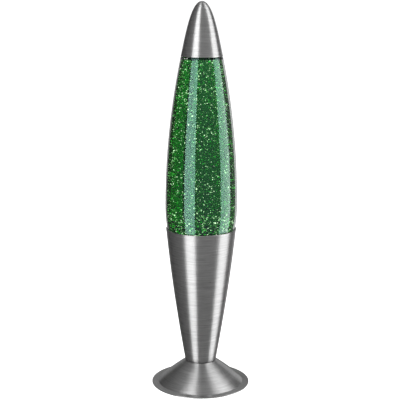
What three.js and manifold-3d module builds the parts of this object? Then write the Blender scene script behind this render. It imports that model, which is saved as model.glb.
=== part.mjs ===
// A glitter lamp: a spun-aluminium table lamp whose tall bottle of green liquid lifts out.
// Millimetres, +Z up. The origin is the centre of the footprint, on the table.
// A hollow spun foot and body are clamped together by one threaded tube. The tube also
// carries an E14 lampholder with a reflector bulb, which heats and lights the bottle.
import * as THREE from 'three';
import { mergeVertices } from 'three/addons/utils/BufferGeometryUtils.js';
import Module from 'manifold-3d';

const wasm = await Module();
wasm.setup();

// ---- Driving dimensions -------------------------------------------------------------------

const HEIGHT = 420;
const GAP = 0.3; // play left between pieces that touch
const SHEET = 0.8; // thickness of the spun aluminium

// Foot: a narrow flat brim that rises as a hollow, almost straight cone to a small flat top.
const FOOT_RADIUS = 54;
const FOOT_TOP_Z = 26.2;
const FOOT_TOP_RADIUS = 17.5;
const BRIM_INNER_RADIUS = 47;
const BRIM_Z = 1.55;
const BEAD_RADIUS = 0.5; // rolled edge of the brim
const BEAD_Z = 0.6;
const CONE_WAIST = [31.6, 12.8]; // pulls the cone's side in by half a millimetre

// Body: a long cone with slightly bulging sides, open at the top.
const BODY_Z = FOOT_TOP_Z + GAP;
const MOUTH_Z = 176.5;
const BODY_RADII = [17, 25.9, 33.3, 38.1]; // control radii at equal steps of height

// Bottle: widest just above the body's mouth, then one long arc up to the cap.
const BOTTLE_Z = 128;
const BULGE_Z = 200;
const BULGE_RADIUS = 38.9;
const UPPER_ARC = 800;
const LOWER_ARC = 142;
const GLASS = 2.4;
const HEEL = 6;
const LEDGE_Z = 362.2; // the flat ring that the cap stands on
const NECK_RADIUS = 12.6;
const NECK_BORE = 9.2;
const LIP_RADIUS = 13.3;
const LIP_Z = 385.6;
const LIQUID_Z = 373;

// Cap: a thin pointed dome.
const CAP_Z = LEDGE_Z + GAP;
const CAP_RADIUS = 22.4;
const CAP_SIDE = [16.9, 388.3];
const CAP_NOSE_RADIUS = 11.3;

// Centre tube, M10 x 1, with its nuts and washers.
const TUBE_RADIUS = 5;
const TUBE_BORE = 3.7;
const TUBE_Z = [1.6, 38.4];
const CLEARANCE_RADIUS = TUBE_RADIUS + GAP;
const NUT_FLATS = 14;
const NUT_THICKNESS = 3;
const WASHER_RADIUS = 9;
const WASHER_THICKNESS = 0.8;
const WINDOW = { halfWidth: 3.2, low: 10.5, high: 19.5 };

// Base plate and anti-slip ring.
const PLATE_Z = 1.2;
const PLATE_THICKNESS = 1;
const PLATE_RADIUS = 43;
const DISH_RADIUS = 10.8;
const DISH_WALL = 2.7;
const DISH_Z = 6.8;
const PAD_RADII = [32, 42.4];

// Cord inlet: a level bush through the back of the foot.
const INLET_Z = 7.4;
const INLET_BORE = 3.05;
const INLET_RADIUS = 4.2;
const INLET_COLLAR = 4.9;
const INLET_Y = [26, 46.5];

// Three-way terminal block on the base plate, in front of the tube.
const BLOCK_HALF_LENGTH = 11.5;
const BLOCK_Y = [-28, -15];
const BLOCK_TOWER_Y = [-25.5, -17.5];
const BLOCK_Z = [2.6, 11.4];
const BLOCK_STEP_Z = 8.4;
const POLE_PITCH = 8;
const POLE_Z = 6;
const POLE_SCREW_Y = [-23.5, -19.5];
const POLE_SCREW_RADIUS = 1.5;

// Lampholder and bulb, E14.
const HOLDER_Z = 32.2;
const HOLDER_RADIUS = 13.2;
const HOLDER_WALL = 1.5;
const INSERT_Z = 43.4;
const SKIRT_Z = 46.6;
const HOLDER_TOP_Z = 66;
const SLEEVE_RADIUS = 7.3;
const TERMINAL_X = 6.4;
const LEAD_RADIUS = 1.1;
const BULB_Z = 51.2;
const BULB_LENGTH = 66.2;
const BULB_RADIUS = 19.5;
const BULB_CAP_RADIUS = 6.9;
const BULB_WALL = 0.8;
const FILAMENT_Z = 97;
const FILAMENT_HALF = 7;

// Sides of round pieces, all multiples of four so that each reaches its full width.
const SIDES_LARGE = 28;
const SIDES_MIDDLE = 20;
const SIDES_SMALL = 12;
const SIDES_WIRE = 8;

// ---- Materials ----------------------------------------------------------------------------

const finish = (color, roughness, metalness, opacity = 1) =>
  new THREE.MeshStandardMaterial({
    color,
    roughness,
    metalness,
    opacity,
    transparent: opacity < 1,
  });

const spunAluminium = () => finish(0xb9bbbd, 0.32, 1);
const steel = () => finish(0xa4a6a8, 0.4, 1);
const brass = () => finish(0xb08d4a, 0.35, 1);
const blackPhenolic = () => finish(0x1c1b1a, 0.45, 0);
const rubber = () => finish(0x202020, 0.85, 0);
const bottleGlass = () => finish(0xe4f2e8, 0.05, 0, 0.35);
const greenLiquid = () => finish(0x14702a, 0.1, 0, 0.7);
const bulbGlass = () => finish(0xf3f3ee, 0.08, 0, 0.35);

// ---- Shape helpers ------------------------------------------------------------------------

const at = (radius, height) => new THREE.Vector2(radius, height);
const WELD_DISTANCE = 1e-4;

// Merges shared corners, drops the slivers at a pole, and turns the faces outwards.
function closed(geometry) {
  geometry.deleteAttribute('normal');
  geometry.deleteAttribute('uv');
  const welded = mergeVertices(geometry, WELD_DISTANCE);
  const corners = welded.getIndex().array;
  const place = welded.getAttribute('position');
  const kept = [];
  let volume = 0;
  for (let i = 0; i < corners.length; i += 3) {
    const [a, b, c] = corners.slice(i, i + 3);
    if (a === b || b === c || c === a) continue;
    kept.push([a, b, c]);
    const [p, q, r] = [a, b, c].map((k) => new THREE.Vector3().fromBufferAttribute(place, k));
    volume += p.dot(q.cross(r));
  }
  const faces = volume < 0 ? kept.map(([a, b, c]) => [a, c, b]) : kept;
  welded.setIndex(faces.flat());
  welded.computeVertexNormals();
  return welded;
}

// Spins a profile of (radius, height) points about the Z axis.
function turned(profile, sides) {
  const geometry = new THREE.LatheGeometry(profile, sides);
  geometry.rotateX(Math.PI / 2);
  return closed(geometry);
}

// Spins a profile that doesn't reach the axis, so it is closed on itself first.
function ring(profile, sides) {
  return turned([...profile, profile[0].clone()], sides);
}

function tubeRing(inner, outer, low, high, sides) {
  return ring([at(inner, low), at(outer, low), at(outer, high), at(inner, high)], sides);
}

function rod(radius, low, high, sides) {
  return turned([at(0, low), at(radius, low), at(radius, high), at(0, high)], sides);
}

function steps(count, pick) {
  return Array.from({ length: count + 1 }, (_, i) => pick(i / count));
}

function arc(centre, radius, from, to, count) {
  return steps(count, (t) => {
    const angle = THREE.MathUtils.degToRad(from + (to - from) * t);
    return at(centre[0] + radius * Math.cos(angle), centre[1] + radius * Math.sin(angle));
  });
}

// Points of a curve moved sideways by a wall thickness.
function inset(curve, distance, count) {
  return steps(count, (t) => {
    const along = curve.getTangent(t);
    return curve.getPoint(t).add(at(-along.y, along.x).multiplyScalar(distance));
  });
}

// A plate: an outline in the XY plane, raised from low to high.
function plate(outline, low, high) {
  const geometry = new THREE.ExtrudeGeometry(outline, {
    depth: high - low,
    bevelEnabled: false,
    curveSegments: SIDES_SMALL / 2,
  });
  geometry.translate(0, 0, low);
  return closed(geometry);
}

// A wire of round section along a smooth path.
function wire(points, radius, count) {
  const section = new THREE.Shape().absarc(0, 0, radius, 0, 2 * Math.PI);
  const path = new THREE.CatmullRomCurve3(points.map((p) => new THREE.Vector3(...p)));
  const geometry = new THREE.ExtrudeGeometry(section, {
    steps: count,
    extrudePath: path,
    bevelEnabled: false,
    curveSegments: SIDES_WIRE / 2,
  });
  return closed(geometry);
}

function toSolid(geometry) {
  const place = geometry.getAttribute('position');
  return new wasm.Manifold(
    new wasm.Mesh({
      numProp: 3,
      vertProperties: new Float32Array(place.array),
      triVerts: new Uint32Array(geometry.getIndex().array),
    }),
  );
}

function cut(geometry, tools) {
  const solid = tools.reduce((rest, tool) => rest.subtract(toSolid(tool)), toSolid(geometry));
  const mesh = solid.getMesh();
  const result = new THREE.BufferGeometry();
  result.setAttribute('position', new THREE.BufferAttribute(mesh.vertProperties, 3));
  result.setIndex(new THREE.BufferAttribute(mesh.triVerts, 1));
  result.computeVertexNormals();
  return result;
}

function piece(name, geometry, material) {
  const mesh = new THREE.Mesh(geometry, material);
  mesh.name = name;
  return mesh;
}

// ---- Bottle and cap -----------------------------------------------------------------------

const sagitta = (radius, along) => radius - Math.sqrt(radius ** 2 - along ** 2);
const SEAT_DROP = BULGE_Z - MOUTH_Z;
const SEAT_RADIUS = BULGE_RADIUS - sagitta(LOWER_ARC, SEAT_DROP);
const SEAT_TAPER = SEAT_DROP / Math.sqrt(LOWER_ARC ** 2 - SEAT_DROP ** 2);

// Outer radius of the bottle: a straight taper in the body, then two arcs.
function bottleRadius(z) {
  if (z >= BULGE_Z) return BULGE_RADIUS - sagitta(UPPER_ARC, z - BULGE_Z);
  if (z >= MOUTH_Z) return BULGE_RADIUS - sagitta(LOWER_ARC, BULGE_Z - z);
  return SEAT_RADIUS - SEAT_TAPER * (MOUTH_Z - z);
}

// The wall of the bottle, moved inwards by depth, from its heel up to topZ.
function bottleWall(depth, topZ, upperSteps) {
  const side = (z) => at(bottleRadius(z) - depth, z);
  const low = BOTTLE_Z + HEEL + depth;
  return [
    side(low),
    side(MOUTH_Z),
    side((MOUTH_Z + BULGE_Z) / 2),
    ...steps(upperSteps, (t) => side(BULGE_Z + (topZ - BULGE_Z) * t)),
  ];
}

// The rounded heel and the pushed-up floor, from the axis out to the wall.
function bottleFloor(depth) {
  const floorZ = BOTTLE_Z + depth * 1.6;
  const wall = at(bottleRadius(BOTTLE_Z + HEEL + depth) - depth, BOTTLE_Z + HEEL + depth);
  const foot = at(wall.x - HEEL, floorZ);
  const heel = new THREE.QuadraticBezierCurve(foot, at(wall.x - 1, floorZ), wall);
  return [at(0, floorZ + 2.5), at(foot.x / 2, floorZ + 1.8), ...heel.getPoints(3).slice(0, -1)];
}

const SHOULDER_Z = 356;

// The inside of the shoulder, from the wall into the neck's bore.
function shoulderInside(depth, bore) {
  const start = at(bottleRadius(SHOULDER_Z) - depth, SHOULDER_Z);
  const drop = depth - GLASS;
  const curve = new THREE.CubicBezierCurve(
    start,
    at(start.x - 0.2, SHOULDER_Z + 5 - drop),
    at(bore, SHOULDER_Z + 2.5 - drop),
    at(bore, SHOULDER_Z + 14 - drop),
  );
  return curve.getPoints(5).slice(1);
}

function bottle() {
  const ledgeEdge = bottleRadius(LEDGE_Z - 1);
  const rise = new THREE.QuadraticBezierCurve(
    at(17.5, LEDGE_Z),
    at(NECK_RADIUS + 0.6, LEDGE_Z),
    at(NECK_RADIUS, LEDGE_Z + 7),
  );
  const lipEdge = 1;
  const profile = [
    ...bottleFloor(0),
    ...bottleWall(0, LEDGE_Z - 1, 7),
    at(ledgeEdge - 0.7, LEDGE_Z),
    ...rise.getPoints(3),
    at(NECK_RADIUS, LIP_Z - 6),
    at(LIP_RADIUS, LIP_Z - 5),
    at(LIP_RADIUS, LIP_Z - lipEdge),
    at(LIP_RADIUS - lipEdge, LIP_Z),
    at(NECK_BORE + lipEdge, LIP_Z),
    at(NECK_BORE, LIP_Z - lipEdge),
    ...shoulderInside(GLASS, NECK_BORE).reverse(),
    ...bottleWall(GLASS, SHOULDER_Z, 5).reverse(),
    ...bottleFloor(GLASS).reverse(),
  ];
  return piece('bottle_glass', turned(profile, SIDES_LARGE), bottleGlass());
}

// The filling, level with the middle of the neck, so that a little air stays above it.
function liquid() {
  const depth = GLASS + GAP;
  const bore = NECK_BORE - GAP;
  const profile = [
    ...bottleFloor(depth),
    ...bottleWall(depth, SHOULDER_Z, 5),
    ...shoulderInside(depth, bore),
    at(bore, LIQUID_Z),
    at(0, LIQUID_Z),
  ];
  return piece('bottle_liquid', turned(profile, SIDES_LARGE), greenLiquid());
}

const LINER_THICKNESS = 0.8;
const LINER_Z = LIP_Z + GAP;
const CROWN_Z = LINER_Z + LINER_THICKNESS + GAP;
const CROWN_SHEET = 0.5;
const CROWN_RADIUS = 15;
const CROWN_SKIRT_Z = LIP_Z - 4.2;

function closureLiner() {
  const shape = rod(LIP_RADIUS - 0.7, LINER_Z, LINER_Z + LINER_THICKNESS, SIDES_MIDDLE);
  return piece('closure_liner', shape, finish(0xd8d4c8, 0.6, 0));
}

// A crimped crown cork over the lip of the bottle.
function crownClosure() {
  const top = LIP_RADIUS + GAP;
  const profile = [
    at(0, CROWN_Z + CROWN_SHEET),
    at(top - 1, CROWN_Z + CROWN_SHEET),
    at(top + CROWN_SHEET, CROWN_Z - 0.7),
    at(CROWN_RADIUS, CROWN_SKIRT_Z),
    at(CROWN_RADIUS - CROWN_SHEET, CROWN_SKIRT_Z),
    at(top, CROWN_Z - 1),
    at(top - 1, CROWN_Z),
    at(0, CROWN_Z),
  ];
  return piece('crown_closure', turned(profile, SIDES_MIDDLE), finish(0xc9b26a, 0.35, 1));
}

// One face of the cap, moved inwards by depth.
function capCurve(depth) {
  return new THREE.CubicBezierCurve(
    at(CAP_RADIUS - depth, CAP_Z),
    at(CAP_SIDE[0] - depth, CAP_SIDE[1]),
    at(CAP_NOSE_RADIUS - depth, HEIGHT - depth),
    at(0, HEIGHT - depth),
  );
}

function cap() {
  const profile = [...capCurve(0).getPoints(9).reverse(), ...capCurve(SHEET).getPoints(7)];
  return piece('cap_shell', turned(profile, SIDES_LARGE), spunAluminium());
}

// ---- Body and foot ------------------------------------------------------------------------

const bodyCurve = new THREE.CubicBezierCurve(
  ...BODY_RADII.map((radius, i) => at(radius, BODY_Z + ((MOUTH_Z - BODY_Z) * i) / 3)),
);

function bodyRadius(z) {
  return bodyCurve.getPoint((z - BODY_Z) / (MOUTH_Z - BODY_Z)).x;
}

// The body: a flat bottom clamped on the foot, a long cone, and a rounded lip.
function body() {
  const edge = 0.5;
  const low = BODY_Z + edge;
  const high = MOUTH_Z - edge;
  const inside = (z) => at(bodyRadius(z) - SHEET, z);
  const profile = [
    at(CLEARANCE_RADIUS, BODY_Z),
    at(BODY_RADII[0] - edge, BODY_Z),
    ...steps(8, (t) => low + (high - low) * t).map((z) => at(bodyRadius(z), z)),
    at(BODY_RADII[3] - SHEET / 2, MOUTH_Z),
    ...steps(6, (t) => high + (BODY_Z + SHEET + edge - high) * t).map(inside),
    at(BODY_RADII[0] - SHEET - edge, BODY_Z + SHEET),
    at(CLEARANCE_RADIUS, BODY_Z + SHEET),
  ];
  return piece('body_shell', ring(profile, SIDES_LARGE), spunAluminium());
}

const coneSide = new THREE.QuadraticBezierCurve(
  at(FOOT_TOP_RADIUS, FOOT_TOP_Z - 0.5),
  at(...CONE_WAIST),
  at(BRIM_INNER_RADIUS, BRIM_Z),
);

// A level cylinder along Y, at the height of the cord inlet.
function inletCore(radius, from, to) {
  const core = rod(radius, from, to, SIDES_MIDDLE);
  core.rotateX(-Math.PI / 2);
  core.translate(0, 0, INLET_Z);
  return core;
}

// The foot: a flat top, a cone, a flat brim with a rolled edge, and the cord's hole.
function foot() {
  const beadX = FOOT_RADIUS - BEAD_RADIUS;
  const profile = [
    at(CLEARANCE_RADIUS, FOOT_TOP_Z),
    at(FOOT_TOP_RADIUS - 0.6, FOOT_TOP_Z),
    ...coneSide.getPoints(7),
    ...arc([beadX, BEAD_Z], BEAD_RADIUS, 90, -90, 4),
    at(beadX - BEAD_RADIUS, BEAD_Z - BEAD_RADIUS / 2),
    ...inset(coneSide, -SHEET, 6).reverse(),
    at(CLEARANCE_RADIUS, FOOT_TOP_Z - SHEET),
  ];
  const hole = inletCore(INLET_RADIUS + GAP, INLET_Y[0] + 2, FOOT_RADIUS);
  const shape = cut(ring(profile, SIDES_LARGE), [hole]);
  return piece('foot_shell', shape, spunAluminium());
}

// A flat pressed plate that closes the foot, with a dish for the nut at its middle.
function basePlate() {
  const top = PLATE_Z + PLATE_THICKNESS;
  const wall = DISH_RADIUS + DISH_WALL;
  const profile = [
    at(CLEARANCE_RADIUS, DISH_Z),
    at(DISH_RADIUS - PLATE_THICKNESS, DISH_Z),
    at(wall - PLATE_THICKNESS, PLATE_Z),
    at(PLATE_RADIUS, PLATE_Z),
    at(PLATE_RADIUS, top),
    at(wall, top),
    at(DISH_RADIUS, DISH_Z + PLATE_THICKNESS),
    at(CLEARANCE_RADIUS, DISH_Z + PLATE_THICKNESS),
  ];
  const screwHole = fixingScrewCore(FIXING_RADIUS + GAP, 0, BLOCK_Z[0]);
  const shape = cut(ring(profile, SIDES_LARGE), [screwHole]);
  return piece('base_plate', shape, finish(0x2b2b2b, 0.55, 0.6));
}

function footPad() {
  const shape = tubeRing(PAD_RADII[0], PAD_RADII[1], 0, PLATE_Z - GAP, SIDES_LARGE);
  return piece('foot_pad', shape, rubber());
}

// The bush that the cord passes through: a collar inside, and a shank out through the foot.
function cordGrommet() {
  const [inner, outer] = INLET_Y;
  const collar = 1.8;
  const chamfer = 0.6;
  const profile = [
    at(INLET_BORE, inner),
    at(INLET_COLLAR, inner),
    at(INLET_COLLAR, inner + collar),
    at(INLET_RADIUS, inner + collar),
    at(INLET_RADIUS, outer - chamfer),
    at(INLET_RADIUS - chamfer, outer),
    at(INLET_BORE, outer),
  ];
  const bush = piece('cord_grommet', ring(profile, SIDES_MIDDLE), rubber());
  bush.rotation.x = -Math.PI / 2;
  bush.position.z = INLET_Z;
  return bush;
}

// ---- Centre tube and its fasteners --------------------------------------------------------

// The threaded tube, with a window in its side for the leads from the terminal block.
function threadedTube() {
  const [low, high] = TUBE_Z;
  const shape = tubeRing(TUBE_BORE, TUBE_RADIUS, low, high, SIDES_MIDDLE);
  const window = new THREE.BoxGeometry(
    2 * WINDOW.halfWidth,
    TUBE_RADIUS,
    WINDOW.high - WINDOW.low,
  );
  window.translate(0, -TUBE_RADIUS, (WINDOW.low + WINDOW.high) / 2);
  return piece('threaded_tube', cut(shape, [closed(window)]), steel());
}

function nut(name, low) {
  const corner = NUT_FLATS / 2 / Math.cos(Math.PI / 6);
  const outline = new THREE.Shape(
    steps(5, (t) => new THREE.Vector2().set(corner, 0).rotateAround(at(0, 0), (t * 5 * Math.PI) / 3)),
  );
  outline.holes.push(new THREE.Path().absarc(0, 0, CLEARANCE_RADIUS, 0, 2 * Math.PI, true));
  return piece(name, plate(outline, low, low + NUT_THICKNESS), steel());
}

function washer(name, low) {
  const high = low + WASHER_THICKNESS;
  const shape = tubeRing(CLEARANCE_RADIUS, WASHER_RADIUS, low, high, SIDES_MIDDLE);
  return piece(name, shape, steel());
}

const LOWER_WASHER_Z = FOOT_TOP_Z - SHEET - GAP - WASHER_THICKNESS;
const TAG_Z = LOWER_WASHER_Z - GAP - WASHER_THICKNESS;
const LOWER_NUT_Z = TAG_Z - GAP - NUT_THICKNESS;
const UPPER_WASHER_Z = BODY_Z + SHEET + GAP;
const BOTTOM_WASHER_Z = DISH_Z - GAP - WASHER_THICKNESS;
const TAG_TAIL_Y = -14.6;
const TAG_TAIL_HALF = 2;

// The ring terminal of the earth lead, clamped under the foot's top.
function earthTag() {
  const radius = WASHER_RADIUS - 0.8;
  const half = Math.asin(TAG_TAIL_HALF / radius);
  const outline = new THREE.Shape();
  outline.absarc(0, 0, radius, -Math.PI / 2 + half, (3 * Math.PI) / 2 - half);
  outline.lineTo(-TAG_TAIL_HALF, TAG_TAIL_Y);
  outline.lineTo(TAG_TAIL_HALF, TAG_TAIL_Y);
  outline.holes.push(new THREE.Path().absarc(0, 0, CLEARANCE_RADIUS, 0, 2 * Math.PI, true));
  return piece('earth_tag', plate(outline, TAG_Z, TAG_Z + WASHER_THICKNESS), brass());
}

function fasteners() {
  return [
    threadedTube(),
    washer('upper_washer', UPPER_WASHER_Z),
    nut('upper_nut', UPPER_WASHER_Z + WASHER_THICKNESS + GAP),
    washer('lower_washer', LOWER_WASHER_Z),
    nut('lower_nut', LOWER_NUT_Z),
    washer('bottom_washer', BOTTOM_WASHER_Z),
    nut('bottom_nut', BOTTOM_WASHER_Z - GAP - NUT_THICKNESS),
    earthTag(),
  ];
}

// ---- Terminal block and leads -------------------------------------------------------------

const FIXING_RADIUS = 1.2;
const FIXING_HEAD_RADIUS = 2;
const FIXING_HEAD_Z = 6.8;
const FIXING_PLACE = [POLE_PITCH / 2, (POLE_SCREW_Y[0] + POLE_SCREW_Y[1]) / 2];

function fixingScrewCore(radius, low, high) {
  const core = rod(radius, low, high, SIDES_SMALL);
  core.translate(...FIXING_PLACE, 0);
  return core;
}

// A vertical screw with a flat cylindrical head, standing on its shank.
function screw(name, place, shank, head, levels, material) {
  const [low, neck, high] = levels;
  const profile = [
    at(0, low),
    at(shank, low),
    at(shank, neck),
    at(head, neck),
    at(head, high),
    at(0, high),
  ];
  const mesh = piece(name, turned(profile, SIDES_SMALL), material);
  mesh.position.set(place[0], place[1], 0);
  return mesh;
}

function poleScrews() {
  const poles = ['live', 'earth', 'neutral'];
  const ends = ['cord', 'lamp'];
  return poles.flatMap((pole, i) =>
    ends.map((end, j) => {
      const place = [(i - 1) * POLE_PITCH, POLE_SCREW_Y[j]];
      const levels = [POLE_Z + POLE_SCREW_RADIUS + GAP, BLOCK_Z[1] - 1.6, BLOCK_Z[1] - 0.6];
      const radius = POLE_SCREW_RADIUS;
      return screw(`screw_${pole}_${end}`, place, radius - 0.3, radius, levels, brass());
    }),
  );
}

// A stepped insulating block with a hole along each pole, screw wells and one fixing hole.
function terminalBlock() {
  const [back, front] = BLOCK_Y;
  const [low, high] = BLOCK_Z;
  const [towerBack, towerFront] = BLOCK_TOWER_Y;
  const section = new THREE.Shape([
    at(back, low),
    at(front, low),
    at(front, BLOCK_STEP_Z),
    at(towerFront, BLOCK_STEP_Z),
    at(towerFront, high),
    at(towerBack, high),
    at(towerBack, BLOCK_STEP_Z),
    at(back, BLOCK_STEP_Z),
  ]);
  const blank = new THREE.ExtrudeGeometry(section, {
    depth: 2 * BLOCK_HALF_LENGTH,
    bevelEnabled: false,
  });
  blank.rotateY(Math.PI / 2);
  blank.rotateX(Math.PI / 2);
  blank.translate(-BLOCK_HALF_LENGTH, 0, 0);
  const tools = [
    fixingScrewCore(FIXING_RADIUS + GAP, low - 1, high),
    fixingScrewCore(FIXING_HEAD_RADIUS + GAP, FIXING_HEAD_Z - GAP, high + 1),
  ];
  for (const x of [-POLE_PITCH, 0, POLE_PITCH]) {
    const bore = rod(LEAD_RADIUS + 0.4, back - 1, front + 1, SIDES_SMALL);
    bore.rotateX(-Math.PI / 2);
    bore.translate(x, 0, POLE_Z);
    tools.push(bore);
    for (const y of POLE_SCREW_Y) {
      const well = rod(POLE_SCREW_RADIUS + GAP, POLE_Z, high + 1, SIDES_SMALL);
      well.translate(x, y, 0);
      tools.push(well);
    }
  }
  const shape = cut(closed(blank), tools);
  return piece('terminal_block', shape, finish(0xe6e2d6, 0.5, 0));
}

function blockFixingScrew() {
  const levels = [PLATE_Z + 0.1, FIXING_HEAD_Z, FIXING_HEAD_Z + 1.6];
  const head = FIXING_HEAD_RADIUS;
  return screw('terminal_block_screw', FIXING_PLACE, FIXING_RADIUS, head, levels, steel());
}

// A lead from one outer pole, through the tube's window and up to the lampholder.
function mainsLead(name, side, colour) {
  const entry = BLOCK_Y[1] - 1.8;
  const inTube = 1.5;
  const points = [
    [side * POLE_PITCH, entry, POLE_Z],
    [side * 7.8, -14.5, 6.2],
    [side * 5.6, -10.8, 10.2],
    [side * 2.4, -6.3, 13.4],
    [side * inTube, -2.6, 15.8],
    [side * inTube, -0.2, 20],
    [side * inTube, 0, 26],
    [side * inTube, 0, 36],
    [side * (inTube + 0.2), 0, 39.2],
    [side * (TERMINAL_X - 4.3), 0, 41.2],
  ];
  return piece(name, wire(points, LEAD_RADIUS, 22), finish(colour, 0.5, 0));
}

function earthLead() {
  const points = [
    [0, BLOCK_Y[1] - 1.8, POLE_Z],
    [0, -14.5, 6.1],
    [0, -13, 8.6],
    [0, -12.6, 14],
    [0, -13.2, 19],
    [0, -13.2, TAG_Z - 0.5],
  ];
  return piece('earth_lead', wire(points, LEAD_RADIUS, 12), finish(0x7fa83a, 0.5, 0));
}

function wiring() {
  return [
    terminalBlock(),
    blockFixingScrew(),
    ...poleScrews(),
    mainsLead('live_lead', -1, 0x6b3d1e),
    mainsLead('neutral_lead', 1, 0x2b5fa8),
    earthLead(),
  ];
}

// ---- Lampholder ---------------------------------------------------------------------------

const HOLDER_BOSS_RADIUS = 8;
const HOLDER_BOSS_HEIGHT = 4;
const DOME_TOP_Z = INSERT_Z + 1.6;
const FLANGE_Z = DOME_TOP_Z + GAP;
const INSERT_TOP_Z = INSERT_Z + 4.8;
const INSERT_RADIUS = HOLDER_RADIUS - HOLDER_WALL - 0.4;

function holderDome() {
  const inner = HOLDER_RADIUS - HOLDER_WALL;
  const shoulder = DOME_TOP_Z - 4.5;
  const profile = [
    at(CLEARANCE_RADIUS, HOLDER_Z),
    at(HOLDER_BOSS_RADIUS, HOLDER_Z),
    at(HOLDER_BOSS_RADIUS, HOLDER_Z + 2.6),
    at(HOLDER_RADIUS, shoulder),
    at(HOLDER_RADIUS, DOME_TOP_Z),
    at(inner, DOME_TOP_Z),
    at(inner, shoulder + 0.6),
    at(HOLDER_BOSS_RADIUS - 0.8, HOLDER_Z + HOLDER_BOSS_HEIGHT),
    at(CLEARANCE_RADIUS, HOLDER_Z + HOLDER_BOSS_HEIGHT),
  ];
  return piece('lampholder_dome', ring(profile, SIDES_MIDDLE), blackPhenolic());
}

// The insulating disc that carries the contacts, clamped between dome and skirt.
function holderInsert() {
  const flange = HOLDER_RADIUS - GAP;
  const profile = [
    at(0, INSERT_Z),
    at(INSERT_RADIUS, INSERT_Z),
    at(INSERT_RADIUS, FLANGE_Z),
    at(flange, FLANGE_Z),
    at(flange, SKIRT_Z - GAP),
    at(INSERT_RADIUS, SKIRT_Z - GAP),
    at(INSERT_RADIUS, INSERT_TOP_Z),
    at(0, INSERT_TOP_Z),
  ];
  const holes = [-TERMINAL_X, TERMINAL_X].map((x) => {
    const hole = rod(1.9, INSERT_Z - 1, INSERT_TOP_Z + 1, SIDES_SMALL);
    hole.translate(x, 0, 0);
    return hole;
  });
  const shape = cut(turned(profile, SIDES_MIDDLE), holes);
  return piece('lampholder_insert', shape, finish(0xe9e6dc, 0.5, 0));
}

function holderSkirt() {
  const inner = HOLDER_RADIUS - HOLDER_WALL;
  const opening = SLEEVE_RADIUS + 1;
  const chamfer = 0.8;
  const profile = [
    at(inner, SKIRT_Z),
    at(HOLDER_RADIUS, SKIRT_Z),
    at(HOLDER_RADIUS, HOLDER_TOP_Z - chamfer),
    at(HOLDER_RADIUS - chamfer, HOLDER_TOP_Z),
    at(opening, HOLDER_TOP_Z),
    at(opening, HOLDER_TOP_Z - 1.2),
    at(inner - chamfer, HOLDER_TOP_Z - 1.2),
    at(inner, HOLDER_TOP_Z - 1.2 - chamfer),
  ];
  return piece('lampholder_skirt', ring(profile, SIDES_MIDDLE), blackPhenolic());
}

function holderSleeve() {
  const low = INSERT_TOP_Z + 1.1;
  const shape = tubeRing(SLEEVE_RADIUS, SLEEVE_RADIUS + 0.5, low, HOLDER_TOP_Z - 1.6, SIDES_MIDDLE);
  return piece('lampholder_sleeve', shape, brass());
}

// The springy centre contact: flat on the insert, then bent up under the bulb's tip.
function holderContact() {
  const width = 4;
  const thickness = 0.4;
  const rootZ = INSERT_TOP_Z + GAP;
  const tipZ = BULB_Z - GAP - thickness;
  const spine = [
    at(TERMINAL_X + 2, rootZ),
    at(4.6, rootZ),
    at(1.6, tipZ),
    at(-2.2, tipZ),
  ];
  const upper = spine.map((p) => at(p.x, p.y + thickness)).reverse();
  const geometry = new THREE.ExtrudeGeometry(new THREE.Shape([...spine, ...upper]), {
    depth: width,
    bevelEnabled: false,
  });
  geometry.rotateX(Math.PI / 2);
  geometry.translate(0, width / 2, 0);
  return piece('lampholder_contact', closed(geometry), brass());
}

function holderScrew(name, x) {
  const levels = [INSERT_Z - 2.4, INSERT_Z - GAP, INSERT_TOP_Z - GAP];
  const profile = [
    at(0, levels[0]),
    at(2.7, levels[0]),
    at(2.7, levels[1]),
    at(1.5, levels[1]),
    at(1.5, levels[2]),
    at(0, levels[2]),
  ];
  const mesh = piece(name, turned(profile, SIDES_SMALL), brass());
  mesh.position.x = x;
  return mesh;
}

function lampholder() {
  return [
    holderDome(),
    holderInsert(),
    holderSkirt(),
    holderSleeve(),
    holderContact(),
    holderScrew('lampholder_screw_live', -TERMINAL_X),
    holderScrew('lampholder_screw_neutral', TERMINAL_X),
  ];
}

// ---- Bulb ---------------------------------------------------------------------------------

const TIP_RADIUS = 2.4;
const TIP_HEIGHT = 2.2;
const INSULATOR_TOP_Z = BULB_Z + 4.8;
const BULB_CAP_Z = INSULATOR_TOP_Z + GAP;
const BULB_CAP_TOP_Z = BULB_Z + 23.8;
const BULB_CAP_SHEET = 0.5;

function bulbTip() {
  const profile = [
    at(0, BULB_Z),
    at(TIP_RADIUS - 0.7, BULB_Z + 0.3),
    at(TIP_RADIUS, BULB_Z + 1),
    at(TIP_RADIUS, BULB_Z + TIP_HEIGHT),
    at(0, BULB_Z + TIP_HEIGHT),
  ];
  return piece('bulb_tip', turned(profile, SIDES_SMALL), finish(0xb5b3ad, 0.45, 1));
}

function bulbInsulator() {
  const recess = TIP_RADIUS + GAP;
  const profile = [
    at(0, BULB_Z + TIP_HEIGHT + GAP),
    at(recess, BULB_Z + TIP_HEIGHT + GAP),
    at(recess, BULB_Z + 1.2),
    at(recess + 0.9, BULB_Z + 1.2),
    at(5.8, INSULATOR_TOP_Z - 0.6),
    at(5.8, INSULATOR_TOP_Z),
    at(0, INSULATOR_TOP_Z),
  ];
  return piece('bulb_insulator', turned(profile, SIDES_MIDDLE), finish(0x141416, 0.2, 0));
}

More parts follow.
